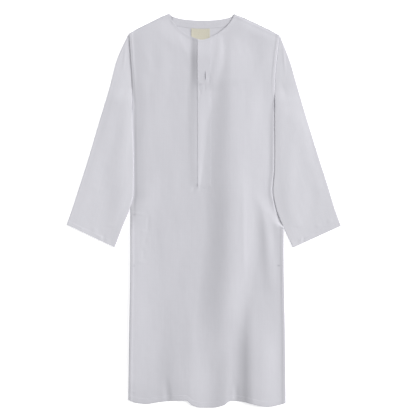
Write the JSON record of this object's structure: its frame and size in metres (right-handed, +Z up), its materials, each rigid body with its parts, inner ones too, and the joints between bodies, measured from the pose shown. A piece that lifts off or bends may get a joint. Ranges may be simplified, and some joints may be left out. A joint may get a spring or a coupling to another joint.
{
  "type": "thobe robe",
  "caption": "Collarless mid-calf robe laid flat face up, with long set-in sleeves, a half-length front placket and side pockets.",
  "frame": {"origin": "on the surface that the robe lies on, under the middle of its bounding box", "axes": "+X toward the wearer's left, +Y from hem to neck, +Z up from the surface"},
  "size_m": [0.8528, 1.2255, 0.0143],
  "materials": {
    "robe_cloth": "fine plain weave, white, soft satin",
    "pocket_cloth": "fine plain weave, white, matte",
    "label_cloth": "woven tape, cream, matte",
    "button_resin": "polished resin, off-white"
  },
  "bodies": {
    "root": {"back_panel": "robe_cloth", "front_panel": "robe_cloth", "sleeve_right": "robe_cloth", "sleeve_left": "robe_cloth", "placket_over": "robe_cloth", "placket_under": "robe_cloth", "neck_facing": "robe_cloth", "neck_label": "label_cloth", "button": "button_resin", "pocket_bag_right": "pocket_cloth", "pocket_bag_left": "pocket_cloth"}
  },
  "joints": []
}
